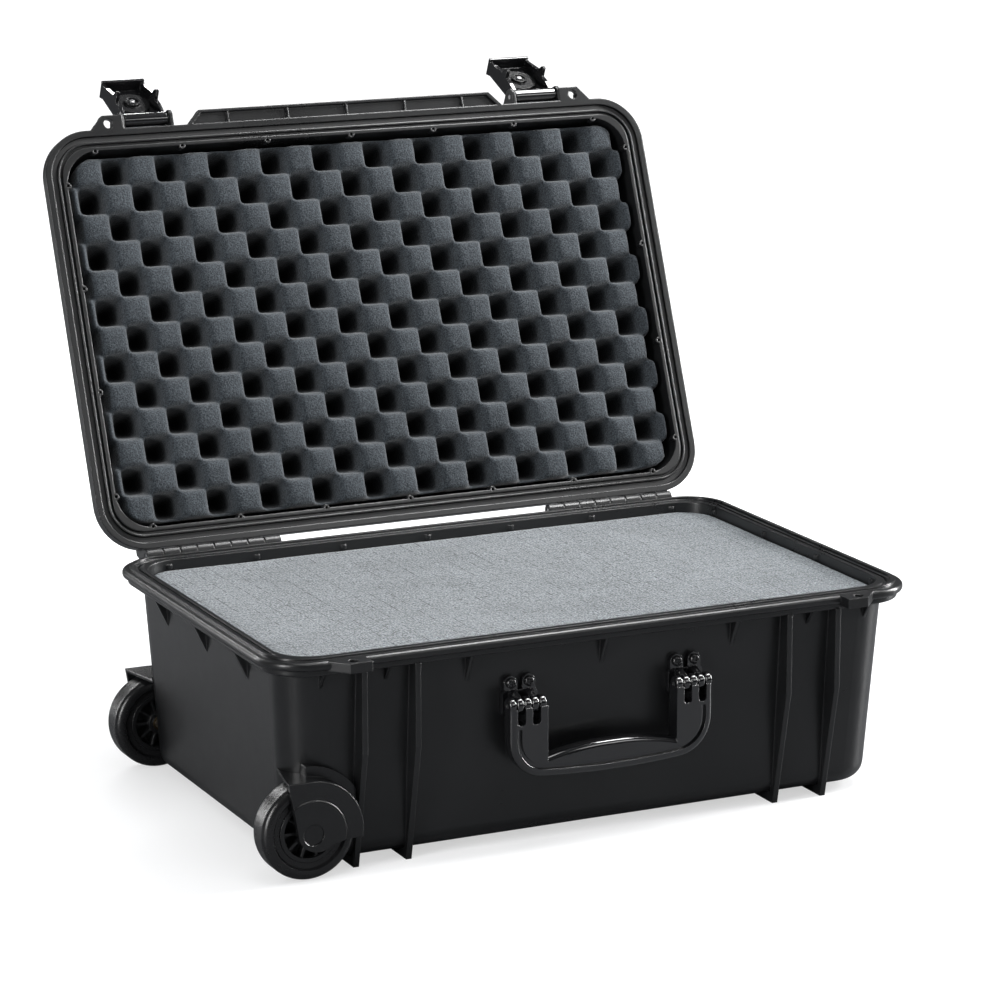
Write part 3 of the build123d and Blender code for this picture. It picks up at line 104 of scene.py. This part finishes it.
# ---- node helpers -------------------------------------------------------------------
class Shader:
    """A Principled material with a few short ways of adding nodes."""

    def __init__(self, name):
        self.material = bpy.data.materials.new(name)
        self.material.use_nodes = True
        self.tree = self.material.node_tree
        self.tree.nodes.clear()
        self.out = self.add("ShaderNodeOutputMaterial")
        self.bsdf = self.add("ShaderNodeBsdfPrincipled")
        self.link(self.bsdf.outputs[0], self.out.inputs[0])
        self.coords = self.add("ShaderNodeTexCoord").outputs["Object"]

    def add(self, kind, **inputs):
        node = self.tree.nodes.new(kind)
        for name, value in inputs.items():
            node.inputs[name.replace("_", " ")].default_value = value
        return node

    def link(self, a, b):
        self.tree.links.new(a, b)

    def noise(self, scale, detail=3.0, rough=0.55, stretch=None):
        node = self.add("ShaderNodeTexNoise", Scale=scale, Detail=detail, Roughness=rough)
        self.link(self.stretched(stretch), node.inputs["Vector"])
        return node.outputs["Fac"]

    def cells(self, scale):
        node = self.add("ShaderNodeTexVoronoi", Scale=scale)
        self.link(self.coords, node.inputs["Vector"])
        return node.outputs["Distance"]

    def stretched(self, stretch):
        if stretch is None:
            return self.coords
        node = self.add("ShaderNodeMapping")
        node.inputs["Scale"].default_value = stretch
        self.link(self.coords, node.inputs["Vector"])
        return node.outputs["Vector"]

    def spread(self, value, low, high, start=0.3, end=0.7):
        node = self.add("ShaderNodeMapRange")
        node.inputs["From Min"].default_value = start
        node.inputs["From Max"].default_value = end
        node.inputs["To Min"].default_value = low
        node.inputs["To Max"].default_value = high
        self.link(value, node.inputs["Value"])
        return node.outputs["Result"]

    def mix(self, factor, a, b):
        node = self.add("ShaderNodeMix")
        node.data_type = "RGBA"
        sockets = [s for s in node.inputs if s.type == "RGBA"]
        for socket, value in zip(sockets, (a, b)):
            if isinstance(value, tuple):
                socket.default_value = (*value, 1.0)
            else:
                self.link(value, socket)
        self.link(factor, node.inputs["Factor"])
        return [s for s in node.outputs if s.type == "RGBA"][0]

    def maths(self, kind, a, b):
        node = self.add("ShaderNodeMath")
        node.operation = kind
        for socket, value in zip(node.inputs, (a, b)):
            if isinstance(value, (int, float)):
                socket.default_value = value
            else:
                self.link(value, socket)
        return node.outputs[0]

    def bump(self, height, strength, distance, normal=None):
        node = self.add("ShaderNodeBump", Strength=strength, Distance=distance)
        self.link(height, node.inputs["Height"])
        if normal is not None:
            self.link(normal, node.inputs["Normal"])
        return node.outputs["Normal"]

    def rounded(self, radius):
        node = self.add("ShaderNodeBevel", Radius=radius)
        node.samples = 6
        return node.outputs["Normal"]

    def set(self, name, value):
        socket = self.bsdf.inputs[name]
        if isinstance(value, (int, float, tuple)):
            socket.default_value = (*value, 1.0) if isinstance(value, tuple) else value
        else:
            self.link(value, socket)


def plastic(name, dark, light, rough, grain, grain_depth, edge, coat=0.0):
    """Moulded plastic: fine spark-eroded grain, cloudy sheen, faint scuffs, softened edges."""
    s = Shader(name)
    clouds = s.noise(9.0, 4.0)
    s.set("Base Color", s.mix(s.spread(clouds, 0.0, 1.0), dark, light))
    scuffs = s.noise(70.0, 6.0, 0.7)
    sheen = s.spread(clouds, rough[0], rough[1])
    worn = s.spread(scuffs, -0.02, 0.03, 0.3, 0.8)
    s.set("Roughness", s.maths("ADD", sheen, worn))
    soft = s.rounded(edge)
    s.set("Normal", s.bump(s.noise(grain, 2.0), 0.6, grain_depth, soft))
    s.set("Specular IOR Level", 0.5)
    s.set("Coat Weight", coat)
    s.set("Coat Roughness", 0.08)
    return s.material


def rubber(name, colour, rough):
    """Moulded rubber with a dusty, finely pitted surface."""
    s = Shader(name)
    dust = s.noise(35.0, 5.0, 0.65)
    s.set("Base Color", s.mix(s.spread(dust, 0.0, 1.0), colour, tuple(c * 1.5 for c in colour)))
    s.set("Roughness", s.spread(dust, rough - 0.03, rough + 0.03))
    s.set("Normal", s.bump(s.noise(1800.0, 2.0), 0.5, 0.00012, s.rounded(0.0006)))
    return s.material


def foam(name, dark, light, pore, depth):
    """Open-cell foam: speckled cell walls with dark pores and a soft fuzzy sheen."""
    s = Shader(name)
    speckle = s.noise(pore * 1.5, 2.0, 0.8)
    cells = s.cells(pore)
    patches = s.spread(s.noise(22.0, 3.0), -0.10, 0.10)
    shade = s.mix(s.maths("ADD", s.spread(speckle, 0.0, 1.0, 0.39, 0.61), patches), dark, light)
    pit = s.spread(cells, 0.0, 1.0, 0.05, 0.45)
    s.colour = s.mix(pit, tuple(c * 0.5 for c in dark), shade)
    s.set("Base Color", s.colour)
    s.set("Roughness", 0.95)
    s.set("Sheen Weight", 0.2)
    s.set("Sheen Roughness", 0.5)
    s.set("Specular IOR Level", 0.15)
    s.height = s.maths("ADD", cells, s.maths("MULTIPLY", speckle, 0.6))
    s.set("Normal", s.bump(s.height, 0.8, depth))
    return s


def precut_foam(name, dark, light, pore, depth):
    """Foam with a grid of fine cuts that show here and there as short dark dashes."""
    s = foam(name, dark, light, pore, depth)
    split = s.add("ShaderNodeSeparateXYZ")
    s.link(s.coords, split.inputs[0])
    lines = []
    for axis in ("X", "Y"):
        phase = s.maths("FRACT", s.maths("MULTIPLY", split.outputs[axis], 1 / CUT_PITCH), 0.0)
        from_middle = s.maths("ABSOLUTE", s.maths("SUBTRACT", phase, 0.5), 0.0)
        lines.append(s.spread(from_middle, 0.0, 1.0, 0.445, 0.485))
    shown = s.spread(s.noise(110.0, 2.0), 0.0, 0.75, 0.44, 0.59)
    dash = s.maths("MULTIPLY", s.maths("MAXIMUM", *lines), shown)
    s.set("Base Color", s.mix(dash, s.colour, tuple(c * 0.35 for c in dark)))
    s.set("Normal", s.bump(s.maths("SUBTRACT", s.height, dash), 0.8, depth))
    return s


def foam_with_painted_valley_shade(name, dark, light, pore, depth, face_point, face_normal, reach):
    """Foam with painted shade: its colour darkens with its depth behind a plane, standing in for the shade in the
    valleys.
    """
    s = foam(name, dark, light, pore, depth)
    offset = s.add("ShaderNodeVectorMath")
    offset.operation = "SUBTRACT"
    offset.inputs[1].default_value = face_point
    s.link(s.coords, offset.inputs[0])
    along = s.add("ShaderNodeVectorMath")
    along.operation = "DOT_PRODUCT"
    along.inputs[1].default_value = face_normal
    s.link(offset.outputs[0], along.inputs[0])
    shade = s.spread(along.outputs["Value"], 0.0, 1.0, SHADE_START * reach, reach)
    # Painted shade: deep in the valleys the colour goes down to a tenth of the dark tone.
    s.set("Base Color", s.mix(shade, s.colour, tuple(c * 0.10 for c in dark)))
    return s


def metal(name, colour, rough):
    """Plated steel or brass with fine turning marks."""
    s = Shader(name)
    marks = s.noise(900.0, 3.0, 0.6, (0.08, 1.0, 1.0))
    tarnish = s.spread(s.noise(60.0), 0.0, 1.0)
    s.set("Base Color", s.mix(tarnish, colour, tuple(c * 0.75 for c in colour)))
    s.set("Metallic", 1.0)
    s.set("Roughness", s.spread(marks, rough - 0.08, rough + 0.1))
    s.set("Normal", s.bump(marks, 0.2, 0.00005, s.rounded(0.0003)))
    return s.material


def label_card(name):
    """Blank label: white satin film."""
    s = Shader(name)
    clouds = s.spread(s.noise(30.0), 0.0, 1.0)
    s.set("Base Color", s.mix(clouds, (0.78, 0.79, 0.8), (0.84, 0.84, 0.84)))
    s.set("Roughness", s.spread(s.noise(200.0), 0.3, 0.42))
    s.set("Normal", s.bump(s.noise(700.0), 0.2, 0.00005))
    return s.material


SHELL = plastic("shell_plastic", (0.0050, 0.0052, 0.0056), (0.0085, 0.0088, 0.0094), rough=(0.27, 0.34),
                grain=2600.0, grain_depth=0.00003, edge=0.0015)
GLOSS = plastic("gloss_plastic", (0.0035, 0.0035, 0.0040), (0.0055, 0.0055, 0.0062), rough=(0.10, 0.17),
                grain=700.0, grain_depth=0.00001, edge=0.0011, coat=1.0)
PART = plastic("satin_plastic", (0.0045, 0.0046, 0.0050), (0.0075, 0.0077, 0.0082), rough=(0.22, 0.29),
               grain=2200.0, grain_depth=0.00003, edge=0.0010)
TYRE = rubber("tyre_rubber", (0.0050, 0.0050, 0.0054), 0.27)
SEAL = rubber("seal_rubber", (0.010, 0.010, 0.0105), 0.5)
FOAM_GREY = precut_foam("foam_grey", (0.022, 0.027, 0.032), (0.196, 0.216, 0.229),
                        pore=420.0, depth=0.0006).material
# Lid foam, with painted shade darkening its valleys.
FOAM_DARK = foam_with_painted_valley_shade("foam_dark", (0.014, 0.0170, 0.0204), (0.056, 0.0655, 0.0745),
                      pore=640.0, depth=0.0004, face_point=LID_REST @ Vector((0, 0, LID_FACE_Z)),
                      face_normal=LID_REST.to_3x3() @ Vector((0, 0, 1)), reach=PEAK_DEPTH).material
STEEL = metal("plated_steel", (0.62, 0.62, 0.63), 0.28)
BLACK_STEEL = plastic("black_steel", (0.0040, 0.0040, 0.0044), (0.0060, 0.0060, 0.0066), rough=(0.16, 0.24),
                      grain=1500.0, grain_depth=0.00002, edge=0.0004, coat=0.4)
BRASS = metal("bush_brass", (0.10, 0.075, 0.045), 0.45)
LABEL = label_card("label_film")

SLOTS = {"shell_black": SHELL, "gloss_black": GLOSS, "part_black": PART, "tyre": TYRE, "seal": SEAL,
         "foam_grey": FOAM_GREY, "foam_dark": FOAM_DARK, "label": LABEL, "bush": BRASS, "steel": STEEL,
         "black_steel": BLACK_STEEL}


def paint_cad_nodes():
    """Give every CAD node the finish of its material slot."""
    slots = {part["node"]: part["material_slot"] for part in frame["record"]["subparts"]}
    for name, node in frame["nodes"].items():
        node.data.materials.clear()
        node.data.materials.append(SLOTS[slots[name]])


# ---- foam ---------------------------------------------------------------------------
def rounded_half_width(y, half_x, half_y, radius):
    """Half the width of a rounded rectangle at a height y."""
    over = max(0.0, abs(y) - (half_y - radius))
    return half_x - radius + math.sqrt(max(0.0, radius * radius - over * over))


def steps(count, edge):
    """Values from -1 to 1, even except for one narrow step at each end."""
    inner = [(2 * i / count - 1) * (1 - edge) for i in range(count + 1)]
    return [-1.0] + inner + [1.0]


def on_rim(u, v):
    """Whether a grid point lies on the outline, where u or v reaches -1 or 1."""
    return max(abs(u), abs(v)) > 0.999


def grid_solid(name, us, vs, top, bottom, material):
    """Closed mesh between two surfaces that share an outline.

    top and bottom are functions of (u, v) in -1..1 that return a point.
    """
    points, faces = [], []
    for field in (top, bottom):
        for v in vs:
            for u in us:
                points.append(field(u, v))
    width = len(us)
    columns, rows = width - 1, len(vs) - 1
    layer = width * len(vs)
    for j in range(rows):
        for i in range(columns):
            a = j * width + i
            faces.append((a, a + 1, a + width + 1, a + width))
            b = a + layer
            faces.append((b, b + width, b + width + 1, b + 1))
    rim = list(range(columns))
    rim += [columns + j * width for j in range(rows)]
    rim += [rows * width + i for i in range(columns, 0, -1)]
    rim += [j * width for j in range(rows, 0, -1)]
    for k, a in enumerate(rim):
        b = rim[(k + 1) % len(rim)]
        faces.append((a, a + layer, b + layer, b))
    mesh = bpy.data.meshes.new(name)
    mesh.from_pydata([tuple(p) for p in points], [], faces)
    mesh.update()
    for polygon in mesh.polygons:
        polygon.use_smooth = True
    piece = bpy.data.objects.new(name, mesh)
    bpy.context.scene.collection.objects.link(piece)
    mesh.materials.append(material)
    return piece


def cushion_wave(s):
    """Cosine with broad tops and steep sides, one period per unit."""
    return math.tanh(PEAK_SHARP * math.cos(2 * math.pi * s)) / math.tanh(PEAK_SHARP)


def lid_foam():
    """Convoluted foam: checkerboard of square-shouldered peaks facing the base."""
    thickness = PEAK_DEPTH + FOAM_BACKING

    def place(u, v, depth):
        share = min(1.0, depth / thickness)
        half_x = LID_FOAM_FACE[0] + (LID_FOAM_BACK[0] - LID_FOAM_FACE[0]) * share
        half_y = LID_FOAM_FACE[1] + (LID_FOAM_BACK[1] - LID_FOAM_FACE[1]) * share
        y = v * half_y
        return u * rounded_half_width(y, half_x, half_y, LID_FOAM_RADIUS), y

    def face(u, v):
        x, y = place(u, v, 0.0)
        wave = cushion_wave(x / PEAK_PITCH) * cushion_wave(y / PEAK_PITCH)
        hill = math.cos(2 * math.pi * x / PEAK_PITCH) * math.cos(2 * math.pi * y / PEAK_PITCH)
        crown = PEAK_CROWN * (1 - hill)
        rough = (noise.noise(Vector((x, y, 0)) * 60) + 1) * LID_FOAM_ROUGH
        edge = LID_FOAM_EDGE if on_rim(u, v) else 0.0
        valley = PEAK_DEPTH * ((1 - wave) / 2) ** PEAK_NARROW
        depth = min(valley + crown + edge + rough, PEAK_DEPTH + VALLEY_LIMIT)
        x, y = place(u, v, depth)
        return LID_REST @ Vector((x, y, LID_FACE_Z + depth))

    def back(u, v):
        x, y = place(u, v, thickness)
        return LID_REST @ Vector((x, y, LID_FACE_Z + thickness))

    piece = grid_solid("lid_convoluted_foam", steps(256, 0.006), steps(156, 0.01), face, back, FOAM_DARK)
    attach(piece, "lid")
    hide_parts("lid_foam")


def lower_part(node, height):
    """Bmesh of the part of a CAD solid below a height, closed on top."""
    shape = bmesh.new()
    shape.from_mesh(frame["nodes"][node].data)
    bmesh.ops.remove_doubles(shape, verts=shape.verts, dist=0.01 * MM)
    everything = shape.verts[:] + shape.edges[:] + shape.faces[:]
    bmesh.ops.bisect_plane(shape, geom=everything, plane_co=(0, 0, height), plane_no=(0, 0, 1),
                           clear_outer=True)
    bmesh.ops.holes_fill(shape, edges=[edge for edge in shape.edges if edge.is_boundary])
    return shape


def base_foam():
    """Foam of the tub: a notched lower layer and an upper layer with a slightly uneven top."""
    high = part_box("base_foam")[1].z - BASE_FOAM_SINK

    def place(u, v, half):
        y = v * half[1]
        return u * rounded_half_width(y, *half, BASE_FOAM_RADIUS), y

    def face(u, v):
        x, y = place(u, v, BASE_FOAM_TOP)
        spot = Vector((x, y, 0))
        wander = noise.noise(spot * 14) * BASE_FOAM_SWELL + noise.noise(spot * 160) * BASE_FOAM_GRAIN
        edge = BASE_FOAM_EDGE if on_rim(u, v) else 0.0
        return x, y, high + wander - edge

    def cut(u, v):
        return (*place(u, v, BASE_FOAM_CUT), BASE_FOAM_SPLIT + LAYER_GAP)

    piece = grid_solid("base_foam_block", steps(130, 0.005), steps(80, 0.008), face, cut, FOAM_GREY)
    shape = lower_part("base_foam", BASE_FOAM_SPLIT)
    shape.from_mesh(piece.data)
    shape.to_mesh(piece.data)
    shape.free()
    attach(piece, "base")
    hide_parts("base_foam")


def base_pad():
    """Floor pad under the foam block."""
    piece = bpy.data.objects.new("base_floor_pad", frame["nodes"]["base_pad"].data.copy())
    bpy.context.scene.collection.objects.link(piece)
    piece.data.materials.clear()
    piece.data.materials.append(FOAM_GREY)
    soften = piece.modifiers.new("soften", "BEVEL")
    soften.width = PAD_EDGE
    soften.segments = 2
    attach(piece, "base")
    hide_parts("base_pad")


# ---- studio -------------------------------------------------------------------------
def studio_floor():
    """Large pale floor with a painted glow seen only by the camera, weaker near the case and plain white away from
    it.
    """
    mesh = bpy.data.meshes.new("studio_floor")
    reach = 9.0
    corners = [(-reach, -reach, 0), (reach, -reach, 0), (reach, reach, 0), (-reach, reach, 0)]
    mesh.from_pydata(corners, [], [(0, 1, 2, 3)])
    floor = bpy.data.objects.new("studio_floor", mesh)
    bpy.context.scene.collection.objects.link(floor)
    s = Shader("pale_floor")
    rays = s.add("ShaderNodeLightPath").outputs
    # Painted reflection: where the floor is mirrored in the case, it gets a darker colour than it has for other
    # rays.
    s.set("Base Color", s.mix(rays["Is Glossy Ray"], (0.36, 0.362, 0.366), (0.131, 0.135, 0.142)))
    s.set("Roughness", 0.5)
    s.set("Specular IOR Level", 0.15)
    # Painted light: the floor glows white for the camera only; the glow is weaker near the case, which paints the
    # floor around it darker.
    away = s.add("ShaderNodeVectorMath")
    away.operation = "LENGTH"
    s.link(s.coords, away.inputs[0])
    glow = s.spread(away.outputs["Value"], 0.58, 1.0, 0.30, 1.1)
    s.set("Emission Color", (1.0, 1.0, 1.0))
    s.set("Emission Strength", s.maths("MULTIPLY", glow, rays["Is Camera Ray"]))
    mesh.materials.append(s.material)


def softbox(name, place, target, size, power):
    """Rectangular area light aimed at a point."""
    data = bpy.data.lights.new(name, "AREA")
    data.shape = "RECTANGLE"
    data.size, data.size_y = size
    data.energy = power
    lamp = bpy.data.objects.new(name, data)
    bpy.context.scene.collection.objects.link(lamp)
    lamp.location = place
    lamp.rotation_euler = (Vector(target) - Vector(place)).to_track_quat("-Z", "Y").to_euler()


def studio_world():
    """White surround for the camera.

    The light it gives is bright above and dim at the horizon, and black plastic hardly mirrors it.
    """
    world = bpy.data.worlds.new("studio")
    bpy.context.scene.world = world
    world.use_nodes = True
    tree = world.node_tree
    tree.nodes.clear()
    out = tree.nodes.new("ShaderNodeOutputWorld")
    mix = tree.nodes.new("ShaderNodeMixShader")
    seen = tree.nodes.new("ShaderNodeBackground")
    seen.inputs["Color"].default_value = (1, 1, 1, 1)
    seen.inputs["Strength"].default_value = 1.0
    light = tree.nodes.new("ShaderNodeBackground")
    light.inputs["Color"].default_value = (0.95, 0.97, 1.0, 1)
    way = tree.nodes.new("ShaderNodeTexCoord")
    split = tree.nodes.new("ShaderNodeSeparateXYZ")
    ramp = tree.nodes.new("ShaderNodeMapRange")
    ramp.inputs["From Min"].default_value = 0.0
    ramp.inputs["From Max"].default_value = 0.9
    ramp.inputs["To Min"].default_value = 0.16
    ramp.inputs["To Max"].default_value = 0.60
    path = tree.nodes.new("ShaderNodeLightPath")
    flag = tree.nodes.new("ShaderNodeMapRange")
    flag.inputs["To Min"].default_value = 1.0
    flag.inputs["To Max"].default_value = 0.22
    share = tree.nodes.new("ShaderNodeMath")
    share.operation = "MULTIPLY"
    tree.links.new(path.outputs["Is Glossy Ray"], flag.inputs["Value"])
    tree.links.new(way.outputs["Generated"], split.inputs[0])
    tree.links.new(split.outputs["Z"], ramp.inputs["Value"])
    tree.links.new(ramp.outputs["Result"], share.inputs[0])
    tree.links.new(flag.outputs["Result"], share.inputs[1])
    tree.links.new(share.outputs[0], light.inputs["Strength"])
    tree.links.new(path.outputs["Is Camera Ray"], mix.inputs[0])
    tree.links.new(light.outputs[0], mix.inputs[1])
    tree.links.new(seen.outputs[0], mix.inputs[2])
    tree.links.new(mix.outputs[0], out.inputs[0])


def studio():
    """Pale floor, white surround and soft boxes above, behind and at the sides."""
    studio_floor()
    studio_world()
    middle = (0.0, 0.05, 0.2)
    softbox("top_box", (-0.2, -0.7, 2.4), middle, (1.2, 0.8), 14.0)
    softbox("overhead_strip", (0.95, 0.25, 2.2), middle, (1.7, 0.36), 60.0)
    softbox("back_strip", (-0.3, 2.3, 1.6), middle, (2.4, 0.2), 34.0)
    softbox("left_strip", (-2.2, -1.0, 0.7), middle, (0.35, 1.4), 36.0)
    softbox("left_back_strip", (-1.6, 1.9, 0.6), middle, (0.2, 1.2), 15.0)
    softbox("right_strip", (2.3, -0.35, 0.95), middle, (0.34, 1.6), 115.0)
    softbox("front_box", (1.35, -2.5, 1.7), middle, (0.8, 0.8), 8.0)


def camera():
    """Seen from the front left and a little above, from about three metres."""
    data = bpy.data.cameras.new("camera")
    eye = bpy.data.objects.new("camera", data)
    bpy.context.scene.collection.objects.link(eye)
    eye.location = CAMERA_PLACE
    way = Vector(CAMERA_TARGET) - eye.location
    eye.rotation_euler = way.to_track_quat("-Z", "Y").to_euler()
    data.lens = CAMERA_LENS
    data.clip_end = 60.0
    bpy.context.scene.camera = eye


paint_cad_nodes()
lid_foam()
base_foam()
base_pad()
studio()
camera()
bpy.context.scene.view_settings.view_transform = "Standard"
